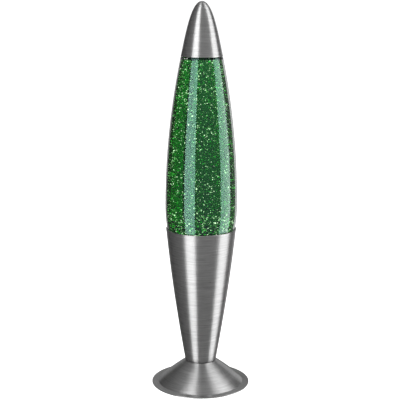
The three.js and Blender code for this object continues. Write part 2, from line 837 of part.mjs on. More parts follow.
// The screw cap: a thin cup, wider above, where the glass sits in it.
function bulbCap() {
  const sheet = BULB_CAP_SHEET;
  const flareZ = BULB_CAP_TOP_Z - 4;
  const profile = [
    at(5, BULB_CAP_Z),
    at(BULB_CAP_RADIUS - 0.4, BULB_CAP_Z),
    at(BULB_CAP_RADIUS, BULB_CAP_Z + 0.8),
    at(BULB_CAP_RADIUS, flareZ),
    at(BULB_CAP_RADIUS + 1.3, BULB_CAP_TOP_Z),
    at(BULB_CAP_RADIUS + 1.3 - sheet, BULB_CAP_TOP_Z),
    at(BULB_CAP_RADIUS - sheet, flareZ),
    at(BULB_CAP_RADIUS - sheet, BULB_CAP_Z + sheet),
    at(5, BULB_CAP_Z + sheet),
  ];
  return piece('bulb_cap', ring(profile, SIDES_MIDDLE), finish(0xc8c6bf, 0.35, 1));
}

// One face of the reflector bulb's glass, moved inwards by depth, from neck to crown.
function bulbFace(depth, count) {
  const crownZ = BULB_Z + BULB_LENGTH - depth;
  const widest = at(BULB_RADIUS - depth, crownZ - 10);
  const neck = at(BULB_CAP_RADIUS - 0.9 - depth, BULB_CAP_TOP_Z - 3);
  const flare = new THREE.CubicBezierCurve(
    neck,
    at(neck.x + 1, neck.y + 5),
    at(widest.x, widest.y - 14),
    widest,
  );
  const crown = new THREE.CubicBezierCurve(
    widest,
    at(widest.x, widest.y + 6),
    at(widest.x / 2, crownZ),
    at(0, crownZ),
  );
  const low = at(neck.x, neck.y - 6);
  return [low, ...flare.getPoints(count), ...crown.getPoints(count - 1).slice(1)];
}

function bulbGlassShell() {
  const profile = [...bulbFace(0, 5).reverse(), ...bulbFace(BULB_WALL, 4)];
  return piece('bulb_glass', turned(profile, SIDES_MIDDLE), bulbGlass());
}

const STEM_TOP_Z = BULB_CAP_TOP_Z + 9;

function bulbStem() {
  const profile = [
    at(0, BULB_CAP_TOP_Z - 8),
    at(3.2, BULB_CAP_TOP_Z - 8),
    at(2.4, BULB_CAP_TOP_Z),
    at(2.6, STEM_TOP_Z - 1),
    at(2, STEM_TOP_Z),
    at(0, STEM_TOP_Z),
  ];
  return piece('bulb_stem', turned(profile, SIDES_SMALL), bulbGlass());
}

function bulbWire(name, side) {
  const points = [
    [side * 1.3, 0, STEM_TOP_Z + GAP],
    [side * 2.4, 0, STEM_TOP_Z + 3],
    [side * 5.6, 0, FILAMENT_Z - 4],
    [side * FILAMENT_HALF, 0, FILAMENT_Z - 0.9],
  ];
  return piece(name, wire(points, 0.35, 6), steel());
}

function bulbFilament() {
  const points = steps(4, (t) => {
    const x = FILAMENT_HALF * (2 * t - 1);
    return [x, 0, FILAMENT_Z + 2 * (1 - (2 * t - 1) ** 2)];
  });
  return piece('bulb_filament', wire(points, 0.4, 10), finish(0x5c5850, 0.5, 1));
}

function bulb() {
  return [
    bulbTip(),
    bulbInsulator(),
    bulbCap(),
    bulbGlassShell(),
    bulbStem(),
    bulbWire('bulb_wire_left', -1),
    bulbWire('bulb_wire_right', 1),
    bulbFilament(),
  ];
}

// ---- The whole lamp -----------------------------------------------------------------------

const lamp = new THREE.Group();
lamp.add(footPad(), basePlate(), foot(), cordGrommet(), body());
lamp.add(...fasteners());
lamp.add(...wiring());
lamp.add(...lampholder());
lamp.add(...bulb());
lamp.add(bottle(), liquid(), closureLiner(), crownClosure(), cap());

export default lamp;
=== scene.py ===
# %% [markdown]
# # A glitter lamp, finished in Blender
# The lamp stands about 420 mm tall: a spun-aluminium foot and body, a glass bottle of green
# liquid full of glitter, and a pointed aluminium cap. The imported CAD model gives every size
# and every place. This script keeps that frame and makes the surfaces that the eye sees.

# %% Load the frame
import math

import bpy
import numpy as np
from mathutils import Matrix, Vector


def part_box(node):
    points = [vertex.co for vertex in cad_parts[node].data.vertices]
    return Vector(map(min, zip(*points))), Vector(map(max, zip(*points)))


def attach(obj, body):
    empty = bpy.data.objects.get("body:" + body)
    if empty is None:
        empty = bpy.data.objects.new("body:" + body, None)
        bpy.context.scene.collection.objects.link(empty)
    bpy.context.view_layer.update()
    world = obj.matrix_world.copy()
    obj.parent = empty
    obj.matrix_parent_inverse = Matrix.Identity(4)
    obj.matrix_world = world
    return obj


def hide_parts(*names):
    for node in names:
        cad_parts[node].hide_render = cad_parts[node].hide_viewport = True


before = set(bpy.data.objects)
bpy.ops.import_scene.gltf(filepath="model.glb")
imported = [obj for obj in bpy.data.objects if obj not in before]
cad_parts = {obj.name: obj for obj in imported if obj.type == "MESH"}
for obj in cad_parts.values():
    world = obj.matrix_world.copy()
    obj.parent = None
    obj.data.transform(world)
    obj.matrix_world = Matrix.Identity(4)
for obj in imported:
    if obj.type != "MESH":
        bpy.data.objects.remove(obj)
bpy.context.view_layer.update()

# %% [markdown]
# ## The camera
# A long lens keeps the sides of a slim lamp almost parallel. The camera stands a little above
# the lamp's middle and looks down by 12 degrees, so that the seams show as shallow curves and
# the top of the foot shows as an oval.

# %% Camera
# Places in metres, angles in degrees, the lens in millimetres.
CAMERA_DISTANCE = 1.178
CAMERA_HEIGHT = 0.459
CAMERA_PITCH = 12.06
CAMERA_ROLL = 0.24
CAMERA_ASIDE = -0.0013
CAMERA_LENS = 100

camera_data = bpy.data.cameras.new("camera")
camera_data.lens = CAMERA_LENS
camera = bpy.data.objects.new("camera", camera_data)
bpy.context.collection.objects.link(camera)
camera.location = (CAMERA_ASIDE, -CAMERA_DISTANCE, CAMERA_HEIGHT)
camera.rotation_mode = "ZYX"
camera.rotation_euler = (math.radians(90 - CAMERA_PITCH), 0, math.radians(CAMERA_ROLL))
bpy.context.scene.camera = camera
print("camera", tuple(round(v, 3) for v in camera.location))

# %% [markdown]
# ## Small helpers
# Sizes are easiest to read in millimetres, and Blender works in metres. Colours are easiest to
# read as sRGB hex values, and shaders work in linear light. A factor and a function turn them
# into what Blender wants. Another function adds a shader node with its settings and its links.
# From the chapter on drawing and spinning onwards, every named size is in millimetres.

# %% Millimetres, colours and nodes
MM = 0.001


def linear(hex_colour):
    """An sRGB hex colour as the linear (r, g, b, 1) that shaders use."""
    channels = [int(hex_colour[i:i + 2], 16) / 255 for i in (1, 3, 5)]
    curve_down = [c / 12.92 if c <= 0.04045 else ((c + 0.055) / 1.055) ** 2.4 for c in channels]
    return (*curve_down, 1)


def add(tree, kind, links=None, **settings):
    """Adds one node. links gives each input's value, or the output that feeds it."""
    made = tree.nodes.new(kind)
    for name, value in settings.items():
        setattr(made, name, value)
    for socket, value in (links or {}).items():
        if isinstance(value, bpy.types.NodeSocket):
            tree.links.new(value, made.inputs[socket])
        else:
            made.inputs[socket].default_value = value
    return made


def new_material(name):
    """An empty material and its node tree."""
    made = bpy.data.materials.new(name)
    made.use_nodes = True
    made.node_tree.nodes.clear()
    return made, made.node_tree


def finish_material(tree, shader, volume=None):
    """Joins a shader, and a volume if there is one, to the material's output."""
    links = {"Surface": shader.outputs[0]}
    if volume:
        links["Volume"] = volume.outputs[0]
    add(tree, "ShaderNodeOutputMaterial", links)


# %% [markdown]
# ## The stage
# A product studio hangs two tall soft lights beside a shiny round object: each shows in the
# metal as one bright upright strip, and the darker room between them gives the metal its
# shape. The floor is pale. It doesn't show in the reflections, as if the lamp stood on a small
# stand, and the lights reach below it, so that the strips run the whole height of the lamp.
#
# The room's walls are brightest on the camera's side and nearly black behind the lamp. The
# ceiling is grey and the ground is dark. Only the camera itself sees a white backdrop. Two weak
# glows stand behind the lamp and shine through the bottle, so that its edges aren't black.

# %% Floor
FLOOR_SIZE = 40
FLOOR_SPECKLE = 900
FLOOR_GLOW = 0.93

bpy.ops.mesh.primitive_plane_add(size=FLOOR_SIZE)
floor = bpy.context.object
floor.name = "floor"
floor.visible_glossy = False
floor.visible_transmission = False

paper, tree = new_material("white paper floor")
speckle = add(tree, "ShaderNodeTexNoise", {"Scale": FLOOR_SPECKLE, "Detail": 2})
paper_tone = add(tree, "ShaderNodeMix", {
    "Factor": speckle.outputs["Fac"], "A": linear("#f4f4f2"), "B": linear("#fafafa"),
}, data_type="RGBA")
lit = add(tree, "ShaderNodeBsdfDiffuse", {"Color": paper_tone.outputs["Result"]})
glow = add(tree, "ShaderNodeEmission", {"Color": (1, 1, 1, 1), "Strength": FLOOR_GLOW})
both = add(tree, "ShaderNodeAddShader", {0: lit.outputs[0], 1: glow.outputs[0]})
eye = add(tree, "ShaderNodeLightPath")
mixed = add(tree, "ShaderNodeMixShader", {
    0: eye.outputs["Is Camera Ray"], 1: lit.outputs[0], 2: both.outputs[0],
})
finish_material(tree, mixed)
floor.data.materials.append(paper)

# %% World
ROOM_DARK = linear("#202020")
ROOM_BRIGHT = linear("#a2a2a2")
CEILING = linear("#9c9c9c")
LOW_DOWN = linear("#202020")
BRIGHT_SIDE = (0.34, -0.94, 0)
CEILING_EDGE = (0.5, 0.95)
GROUND_EDGE = (-0.5, -0.8)

room = bpy.data.worlds.new("studio")
bpy.context.scene.world = room
room.use_nodes = True
tree = room.node_tree
tree.nodes.clear()
direction = add(tree, "ShaderNodeTexCoord").outputs["Generated"]
facing = add(tree, "ShaderNodeVectorMath", {
    0: direction, 1: BRIGHT_SIDE,
}, operation="DOT_PRODUCT")
around = add(tree, "ShaderNodeMapRange", {
    "Value": facing.outputs["Value"], "From Min": -1, "From Max": 1,
})
walls = add(tree, "ShaderNodeMix", {
    "Factor": around.outputs["Result"], "A": ROOM_DARK, "B": ROOM_BRIGHT,
}, data_type="RGBA")
rise = add(tree, "ShaderNodeSeparateXYZ", {0: direction}).outputs["Z"]
upwards = add(tree, "ShaderNodeMapRange", {
    "Value": rise, "From Min": CEILING_EDGE[0], "From Max": CEILING_EDGE[1],
})
downwards = add(tree, "ShaderNodeMapRange", {
    "Value": rise, "From Min": GROUND_EDGE[0], "From Max": GROUND_EDGE[1],
})
upper_room = add(tree, "ShaderNodeMix", {
    "Factor": upwards.outputs["Result"], "A": walls.outputs["Result"], "B": CEILING,
}, data_type="RGBA")
whole_room = add(tree, "ShaderNodeMix", {
    "Factor": downwards.outputs["Result"], "A": upper_room.outputs["Result"], "B": LOW_DOWN,
}, data_type="RGBA")
dark_room = add(tree, "ShaderNodeBackground", {"Color": whole_room.outputs["Result"]})
white_room = add(tree, "ShaderNodeBackground", {"Color": (1, 1, 1, 1)})
seen = add(tree, "ShaderNodeMixShader", {
    0: add(tree, "ShaderNodeLightPath").outputs["Is Camera Ray"],
    1: dark_room.outputs[0], 2: white_room.outputs[0],
})
add(tree, "ShaderNodeOutputWorld", {"Surface": seen.outputs[0]})
bpy.context.scene.view_settings.view_transform = "Standard"


# %% Lights
def softbox(name, azimuth, distance, width, low, high, brightness):
    """An upright rectangle of light. Azimuth 0 is on the camera's side, 90 is to its right."""
    data = bpy.data.lights.new(name, "AREA")
    data.shape = "RECTANGLE"
    data.size, data.size_y = width, high - low
    data.energy = brightness * math.pi * width * (high - low)
    light = bpy.data.objects.new(name, data)
    bpy.context.collection.objects.link(light)
    turn = math.radians(azimuth)
    light.location = (distance * math.sin(turn), -distance * math.cos(turn), (low + high) / 2)
    light.rotation_euler = (math.pi / 2, 0, turn)
    return light


# Azimuth in degrees; distance, width, lowest and highest edge in metres; brightness.
softbox("softbox_left", -38, 1.3, 0.84, -1.2, 5.0, 2.75)
softbox("softbox_right", 86, 1.2, 0.90, -1.2, 3.6, 2.35)
softbox("back_glow_right", 153, 1.2, 0.46, -0.6, 1.4, 0.5)
softbox("back_glow_left", -169, 1.2, 0.86, -1.2, 2.6, 0.3)

# %% [markdown]
# ## Drawing and spinning
# The shells of this lamp are metal spinnings: a flat disc is turned in a lathe and pressed over
# a former. The same idea makes the mesh. One vertex is extruded from point to point along half
# of the wall's outline, and the Spin tool turns that line about the lamp's axis. A pull between
# a few control points draws each long curve, so no outline needs a long list of numbers.


# %% Curves and spinning
MERGE_WITHIN = 0.002


def pull(controls, count):
    """Points on the smooth curve from the first control point to the last."""
    points = []
    for i in range(count + 1):
        row = [tuple(c) for c in controls]
        while len(row) > 1:
            row = [tuple(a + (b - a) * i / count for a, b in zip(p, q))
                   for p, q in zip(row, row[1:])]
        points.append(row[0])
    return points


def arc(centre, radius, start, end, count):
    """Points on a circle's arc, between two angles in degrees."""
    angles = [math.radians(start + (end - start) * i / count) for i in range(count + 1)]
    return [(centre[0] + radius * math.cos(a), centre[1] + radius * math.sin(a)) for a in angles]


def begin(name):
    """Deselects everything and starts a piece as one vertex at the origin, in edit mode."""
    bpy.ops.object.select_all(action="DESELECT")
    bpy.ops.mesh.primitive_plane_add(size=MM)
    piece = bpy.context.object
    piece.name = piece.data.name = name
    bpy.ops.object.mode_set(mode="EDIT")
    bpy.ops.mesh.select_all(action="SELECT")
    bpy.ops.mesh.merge(type="CENTER")
    return piece


def leave_clean():
    """Merges doubles, turns the faces outwards and goes back to object mode."""
    bpy.ops.mesh.select_all(action="SELECT")
    bpy.ops.mesh.remove_doubles(threshold=MERGE_WITHIN * MM)
    bpy.ops.mesh.normals_make_consistent(inside=False)
    bpy.ops.object.mode_set(mode="OBJECT")


def spun(name, outline, steps=96, sharp=35):
    """Spins an outline of (radius, height) points, in millimetres, about the Z axis."""
    piece = begin(name)
    bpy.ops.transform.translate(value=(outline[0][0] * MM, 0, outline[0][1] * MM))
    for here, there in zip(outline, outline[1:]):
        step = ((there[0] - here[0]) * MM, 0, (there[1] - here[1]) * MM)
        bpy.ops.mesh.extrude_region_move(TRANSFORM_OT_translate={"value": step})
    bpy.ops.mesh.select_all(action="SELECT")
    bpy.ops.mesh.spin(steps=steps, angle=math.tau, center=(0, 0, 0), axis=(0, 0, 1))
    leave_clean()
    bpy.ops.object.shade_smooth_by_angle(angle=math.radians(sharp))
    print(name, len(piece.data.polygons), "faces")
    return piece


def ring(name, outline, steps=96, sharp=35):
    """Spins an outline that doesn't reach the axis, so it is closed on itself first."""
    return spun(name, [*outline, outline[0]], steps, sharp)


def dress(piece, material, body, node=None):
    """Gives a piece its material and its body, and hides the CAD node that it stands for."""
    piece.data.materials.clear()
    piece.data.materials.append(material)
    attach(piece, body)
    if node:
        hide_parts(node)


def levels(node):
    """The lowest and highest point of a CAD node, in millimetres."""
    low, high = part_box(node)
    return low[2] / MM, high[2] / MM


# %% [markdown]
# ## Spun aluminium
# Commercially pure aluminium, spun on a lathe and then brushed while it turned. The fine lines
# run round the lamp, so a light spreads into a tall streak up and down but keeps a crisp edge
# from side to side. The shader gets that from anisotropy: its tangent runs round the axis, and
# a quarter turn of the anisotropy stretches the highlight across the lines. Real brush lines are
# about 0.1 mm apart; they are drawn about ten times as coarse so that they show. The brushed
# ridges also scatter a little light every way, so the metal isn't quite a full metal here.

# %% Aluminium material
BRUSH_LINES_PER_METRE = 800
BRUSH_DRIFT_PER_METRE = 40
BRUSH_DEPTH = 0.02
BRUSH_GLOSS_SPREAD = 0.06
METALNESS = 0.88
STREAK = 0.8
QUARTER_TURN = 0.25


def brushed_metal(name, dark, light, roughness, bump):
    """Metal brushed in a lathe: the lines run round the Z axis on steep and flat walls alike."""
    made, tree = new_material(name)
    place = add(tree, "ShaderNodeSeparateXYZ", {
        0: add(tree, "ShaderNodeTexCoord").outputs["Object"],
    })
    level = add(tree, "ShaderNodeCombineXYZ", {
        "X": place.outputs["X"], "Y": place.outputs["Y"],
    })
    radius = add(tree, "ShaderNodeVectorMath", {0: level.outputs[0]}, operation="LENGTH")
    along = add(tree, "ShaderNodeMath", {
        0: place.outputs["Z"], 1: radius.outputs["Value"],
    }, operation="SUBTRACT")
    track = add(tree, "ShaderNodeCombineXYZ", {
        "X": place.outputs["X"], "Y": place.outputs["Y"], "Z": along.outputs[0],
    })
    stretched = add(tree, "ShaderNodeVectorMath", {
        0: track.outputs[0],
        1: (BRUSH_DRIFT_PER_METRE, BRUSH_DRIFT_PER_METRE, BRUSH_LINES_PER_METRE),
    }, operation="MULTIPLY")
    lines = add(tree, "ShaderNodeTexNoise", {
        "Vector": stretched.outputs[0], "Scale": 1, "Detail": 5, "Roughness": 0.75,
    })
    tone = add(tree, "ShaderNodeMix", {
        "Factor": lines.outputs["Fac"], "A": linear(dark), "B": linear(light),
    }, data_type="RGBA")
    gloss = add(tree, "ShaderNodeMapRange", {
        "Value": lines.outputs["Fac"], "From Min": 0.3, "From Max": 0.7,
        "To Min": roughness - BRUSH_GLOSS_SPREAD, "To Max": roughness + BRUSH_GLOSS_SPREAD,
    })
    relief = add(tree, "ShaderNodeBump", {
        "Height": lines.outputs["Fac"], "Strength": bump, "Distance": BRUSH_DEPTH * MM,
    })
    shader = add(tree, "ShaderNodeBsdfPrincipled", {
        "Base Color": tone.outputs["Result"], "Metallic": METALNESS, "Roughness": gloss.outputs[0],
        "Anisotropic": STREAK, "Anisotropic Rotation": QUARTER_TURN,
        "Tangent": add(tree, "ShaderNodeTangent", direction_type="RADIAL", axis="Z").outputs[0],
        "Normal": relief.outputs[0],
    })
    finish_material(tree, shader)
    return made


aluminium = brushed_metal("spun aluminium", "#626262", "#d6d6d6", 0.33, 0.6)

# %% [markdown]
# ## The foot
# A cone spun in one piece with a narrow flat brim. The crease where they meet is crisp, and
# the brim's edge is rolled over so that nobody cuts a finger on 0.8 mm sheet. The roll shows
# as a thin dark line along the front.

# %% Foot
SHEET = 0.8
TUBE_CLEARANCE = 5.3
FOOT_TOP_RADIUS = 17.5
FOOT_TOP_BEVEL = (0.6, 0.5)
CONE_WAIST = (33.6, 14.2)
BRIM_START = (47, 1.55)
BEAD_RADIUS = 0.5
CORD_HOLE_RADIUS = 4.4
PUNCH_LENGTH = 30
SLIVER = 0.02


def offset(points, distance):
    """The same line of points, moved to its left by a distance."""
    moved = []
    for i, (x, y) in enumerate(points):
        before, after = points[max(i - 1, 0)], points[min(i + 1, len(points) - 1)]
        run, rise = after[0] - before[0], after[1] - before[1]
        length = math.hypot(run, rise)
        moved.append((x - rise / length * distance, y + run / length * distance))
    return moved


foot_low, foot_top = levels("foot_shell")
foot_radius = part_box("foot_shell")[1][0] / MM
bead = (foot_radius - BEAD_RADIUS, foot_low + BEAD_RADIUS)
cone = pull([(FOOT_TOP_RADIUS, foot_top - FOOT_TOP_BEVEL[1]), CONE_WAIST, BRIM_START], 24)
foot = ring("foot", [
    (TUBE_CLEARANCE, foot_top), (FOOT_TOP_RADIUS - FOOT_TOP_BEVEL[0], foot_top), *cone,
    *arc(bead, BEAD_RADIUS, 90, -90, 8), (bead[0] - BEAD_RADIUS, bead[1] - BEAD_RADIUS / 2),
    *reversed(offset(cone, -SHEET)), (TUBE_CLEARANCE, foot_top - SHEET),
])

# %% The cord's hole in the back of the foot
# A cylinder punches it. The punch leaves a few slivers, which are merged away.
inlet_low, inlet_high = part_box("cord_grommet")
inlet_z = (inlet_low[2] + inlet_high[2]) / 2
bpy.ops.object.select_all(action="DESELECT")
bpy.ops.mesh.primitive_cylinder_add(
    vertices=40, radius=CORD_HOLE_RADIUS * MM, depth=PUNCH_LENGTH * MM,
    location=(0, inlet_high[1], inlet_z), rotation=(math.pi / 2, 0, 0),
)
punch = bpy.context.object
bpy.context.view_layer.objects.active = foot
bpy.ops.object.modifier_add(type="BOOLEAN")
foot.modifiers[-1].object = punch
foot.modifiers[-1].operation = "DIFFERENCE"
bpy.ops.object.modifier_apply(modifier=foot.modifiers[-1].name)
bpy.data.objects.remove(punch)
bpy.ops.object.mode_set(mode="EDIT")
bpy.ops.mesh.select_all(action="SELECT")
bpy.ops.mesh.remove_doubles(threshold=SLIVER * MM)
bpy.ops.object.mode_set(mode="OBJECT")
dress(foot, aluminium, "base", "foot_shell")
print("foot after its hole", len(foot.data.polygons), "faces")

# %% [markdown]
# ## The body
# A long cone with slightly swelling sides, closed at its foot and open at the top, where the
# bottle drops in. The mouth is rounded over, and that lip catches both lights. Just above the
# foot the body is turned in by a millimetre, which gives the seam its dark line.

# %% Body
BODY_RADII = (17, 25.9, 33.3, 38.1)
LIP = 0.55
SEAM = 0.6
SEAM_DEPTH = 1.2
SEAM_EDGE = 0.2
FLOOR_BEND = (2, 1.5)

body_low, mouth = levels("body_shell")
body_side = pull([(r, body_low + (mouth - body_low) * i / 3)
                  for i, r in enumerate(BODY_RADII)], 40)
body_wall = body_side[:-1]
body_inside = [(r - SHEET, z) for r, z in body_wall if z > body_low + FLOOR_BEND[1]]
lip_centre = (body_side[-1][0] - SHEET / 2, mouth - LIP)
body = ring("body", [
    (TUBE_CLEARANCE, body_low), (BODY_RADII[0] - SEAM_DEPTH, body_low),
    (BODY_RADII[0] - SEAM_DEPTH, body_low + SEAM), (BODY_RADII[0] - SEAM_EDGE, body_low + SEAM),
    (BODY_RADII[0] + 0.07, body_low + SEAM + 0.3), *body_wall[1:],
    *arc(lip_centre, LIP, -10, 190, 8), *reversed(body_inside),
    (BODY_RADII[0] - FLOOR_BEND[0], body_low + SHEET), (TUBE_CLEARANCE, body_low + SHEET),
], steps=128)
dress(body, aluminium, "base", "body_shell")

# %% [markdown]
# ## The cap
# A pointed dome, spun from the same sheet and lifted off to reach the bottle's neck. Its rim
# stands on the ledge of the glass.

# %% Cap
CAP_RADIUS = 22.4
CAP_SIDE = (16.9, 388.3)
CAP_NOSE_RADIUS = 11.3
CAP_LIP = 0.45
CAP_STRAIGHT = 0.6

cap_low, cap_top = levels("cap_shell")


def cap_face(depth, count):
    """One face of the cap, moved inwards by a depth, from its rim to its tip."""
    top = cap_top - depth
    return pull([(CAP_RADIUS - depth, cap_low), (CAP_SIDE[0] - depth, CAP_SIDE[1]),
                 (CAP_NOSE_RADIUS - depth, top), (0, top)], count)


cap_outer = [p for p in cap_face(0, 48) if p[1] > cap_low + CAP_STRAIGHT]
cap_inner = [p for p in cap_face(SHEET, 40) if p[1] > cap_low + CAP_STRAIGHT]
cap_lip = arc((CAP_RADIUS - SHEET / 2, cap_low + CAP_LIP), CAP_LIP, 180, 360, 6)
cap = spun("cap", [*reversed(cap_inner), *cap_lip, *cap_outer], steps=112)
dress(cap, aluminium, "cap", "cap_shell")

# %% [markdown]
# ## The bottle
# Blown soda-lime glass, clear with the faint green of ordinary bottle glass. It is widest just
# above the metal, tapers to a wedge that sits in the mouth of the body, and has a pushed-up
# floor like a wine bottle's. The neck carries a bead for the crown closure. The real wall is
# 2.4 mm thick. It is drawn 1.5 mm thick, because a thick wall beside a thin film of air shows a
# wide pale rim that a wetted wall doesn't have.

# %% Bottle outline
BULGE_Z = 200
BULGE_RADIUS = 38.9
UPPER_ARC = 800
LOWER_ARC = 142
GLASS = 1.5
HEEL = 6
SHOULDER_Z = 359
NECK_RADIUS = 12.6
NECK_BORE = 9.2
BEAD_OF_NECK = 13.3
BEAD_HEIGHT = 6
PUSH_UP = (2.5, 2.3)
LEDGE_GAP = 0.3
NECK_FOOT = (14.5, 17.5)
FLOOR_THICKENING = 1.6
PUSH_UP_KNEE = 0.7

bottle_low, bottle_top = levels("bottle_glass")
ledge = cap_low - LEDGE_GAP
bead_low = bottle_top - BEAD_HEIGHT


def sagitta(radius, along):
    """How far an arc has curved in, at a distance along from its widest point."""
    return radius - math.sqrt(radius ** 2 - along ** 2)


def bottle_radius(z):
    """The outer radius of the glass: a taper in the body, then two arcs."""
    if z >= BULGE_Z:
        return BULGE_RADIUS - sagitta(UPPER_ARC, z - BULGE_Z)
    drop = BULGE_Z - mouth
    if z >= mouth:
        return BULGE_RADIUS - sagitta(LOWER_ARC, BULGE_Z - z)
    taper = drop / math.sqrt(LOWER_ARC ** 2 - drop ** 2)
    return BULGE_RADIUS - sagitta(LOWER_ARC, drop) - taper * (mouth - z)


def bottle_wall(depth, top, count):
    """The wall from its heel to a height, moved inwards by a depth."""
    low = bottle_low + HEEL + depth
    heights = [low + (top - low) * i / count for i in range(count + 1)]
    return [(bottle_radius(z) - depth, z) for z in heights]


def bottle_floor(depth):
    """The pushed-up floor and the rounded heel, from the axis to the wall."""
    floor_z = bottle_low + depth * FLOOR_THICKENING
    wall = bottle_wall(depth, SHOULDER_Z, 1)[0]
    foot_ring = (wall[0] - HEEL, floor_z)
    shallow = (foot_ring[0] * PUSH_UP_KNEE, floor_z + PUSH_UP[1])
    push_up = pull([(0, floor_z + PUSH_UP[0]), shallow, foot_ring], 10)
    return push_up + pull([foot_ring, (wall[0] - 1, floor_z), wall], 8)[1:-1]


def shoulder_inside(depth, bore):
    """The inside of the shoulder, from the wall into the neck."""
    wall = bottle_radius(SHOULDER_Z) - depth
    under = ledge - depth
    corner = pull([(wall, SHOULDER_Z), (wall - 0.1, under), (wall - 2.5, under)], 6)[1:]
    return corner + pull([(NECK_FOOT[0], under), (bore, under + 0.2), (bore, under + 8)], 8)


# %% Bottle
neck_rise = pull([(NECK_FOOT[1], ledge), (NECK_RADIUS + 0.6, ledge), (NECK_RADIUS, ledge + 7)], 8)
bottle = spun("bottle", [
    *bottle_floor(0), *bottle_wall(0, ledge - 1, 60),
    *pull([(bottle_radius(ledge - 1), ledge - 0.9), (bottle_radius(ledge), ledge),
           (bottle_radius(ledge) - 1.2, ledge)], 4),
    *neck_rise, (NECK_RADIUS, bead_low - 0.4),
    *pull([(NECK_RADIUS, bead_low), (BEAD_OF_NECK, bead_low), (BEAD_OF_NECK, bead_low + 1)], 4),
    *pull([(BEAD_OF_NECK, bottle_top - 1.2), (BEAD_OF_NECK, bottle_top),
           (BEAD_OF_NECK - 1.2, bottle_top)], 5),
    *pull([(NECK_BORE + 1, bottle_top), (NECK_BORE, bottle_top),
           (NECK_BORE, bottle_top - 1)], 4),
    *reversed(shoulder_inside(GLASS, NECK_BORE)),
    *reversed(bottle_wall(GLASS, SHOULDER_Z, 50)), *reversed(bottle_floor(GLASS)),
], steps=128, sharp=50)

# %% [markdown]
# ### Glass and liquid
# Soda-lime glass bends light with an index of 1.52. The liquid is water with salts and a green
# dye: it bends light less, at 1.36, and it swallows red and blue within a few centimetres, which
# is what a Volume Absorption node does. Light that crosses more liquid comes out a deeper green.
# A slight green tint on their reflections stands for light that goes back and forth between the
# wall and the dye. Neither piece casts a shadow, so the lamps reach the glitter straight through
# them; a renderer can hardly find light that bends on its way in.

# %% Glass and liquid materials
GLASS_BENDING = 1.52
LIQUID_BENDING = 1.36
DYE_DENSITY = 95

glass, tree = new_material("soda-lime glass")
waves = add(tree, "ShaderNodeTexNoise", {
    "Vector": add(tree, "ShaderNodeTexCoord").outputs["Object"], "Scale": 30, "Detail": 1,
})
ripple = add(tree, "ShaderNodeBump", {
    "Height": waves.outputs["Fac"], "Strength": 0.05, "Distance": 0.3 * MM,
})
finish_material(tree, add(tree, "ShaderNodeBsdfPrincipled", {
    "Base Color": linear("#f3faf5"), "Roughness": 0.0, "IOR": GLASS_BENDING,
    "Specular Tint": linear("#c4fff4"), "Transmission Weight": 1, "Normal": ripple.outputs[0],
}))
dress(bottle, glass, "bottle", "bottle_glass")
bottle.visible_shadow = False

liquid_green, tree = new_material("green dyed liquid")
stain = add(tree, "ShaderNodeTexNoise", {
    "Vector": add(tree, "ShaderNodeTexCoord").outputs["Object"], "Scale": 18, "Detail": 3,
})
tint = add(tree, "ShaderNodeMix", {
    "Factor": stain.outputs["Fac"], "A": linear("#bfe8c6"), "B": linear("#e9f8ea"),
}, data_type="RGBA")
finish_material(
    tree,
    add(tree, "ShaderNodeBsdfPrincipled", {
        "Base Color": tint.outputs["Result"], "Roughness": 0.0, "IOR": LIQUID_BENDING,
        "Specular Tint": linear("#8affb4"), "Transmission Weight": 1,
    }),
    add(tree, "ShaderNodeVolumeAbsorption", {
        "Color": linear("#40e468"), "Density": DYE_DENSITY,
    }),
)

# %% Liquid
# A hair's breadth keeps the liquid's surface apart from the glass.
LIQUID_GAP = 0.1

liquid_top = levels("bottle_liquid")[1]
liquid_depth = GLASS + LIQUID_GAP
liquid_bore = NECK_BORE - LIQUID_GAP
liquid = spun("liquid", [
    *bottle_floor(liquid_depth), *bottle_wall(liquid_depth, SHOULDER_Z, 50),
    *shoulder_inside(liquid_depth, liquid_bore), (liquid_bore, liquid_top),
    (0, liquid_top - 0.4),
], steps=112, sharp=50)
dress(liquid, liquid_green, "bottle", "bottle_liquid")
liquid.visible_shadow = False

# %% [markdown]
# ### Glitter
# The glitter is aluminised polyester film, die-cut into hexagons: each flake is a flat mirror
# that lights up only when it faces the right way. One flake is modelled and then copied through
# the liquid. Real flakes are 0.2 to 0.6 mm across; these are about three times that, so that
# they show. They crowd towards the wall and the bottom, and the biggest lie lowest. A flake that
# faces a lamp throws back a glint, too small for the renderer to find by chance, so one flake in
# five glows a little instead: a painted glint. About half of the flakes are painted dark green,
# a painted shade for flakes turned away, and the rest pale green, a painted light.

# %% One flake
# Its radius is 1 mm, so a flake's size below is its radius in millimetres.
FLAKE_THICKNESS = 0.12

bpy.ops.object.select_all(action="DESELECT")
bpy.ops.mesh.primitive_circle_add(vertices=6, radius=MM, fill_type="NGON")
flake = bpy.context.object
bpy.ops.object.mode_set(mode="EDIT")
bpy.ops.mesh.select_all(action="SELECT")
bpy.ops.mesh.extrude_region_move(TRANSFORM_OT_translate={"value": (0, 0, FLAKE_THICKNESS * MM)})
leave_clean()
flake_points = np.array([v.co[:] for v in flake.data.vertices])
flake_faces = [tuple(f.vertices) for f in flake.data.polygons]
bpy.data.objects.remove(flake)


# %% Glitter through the liquid
WALL_GAP = 1.0
CORE_SHARE = 0.6
CORE_FALL = 2.6
# The next three set the painted shade and the painted glints on the flakes.
PAINTED_SHADE_SHARE = 0.52
GLINTS_FROM = 0.78
GLINT_POWER = 1.9
ABOVE_FLOOR = 9


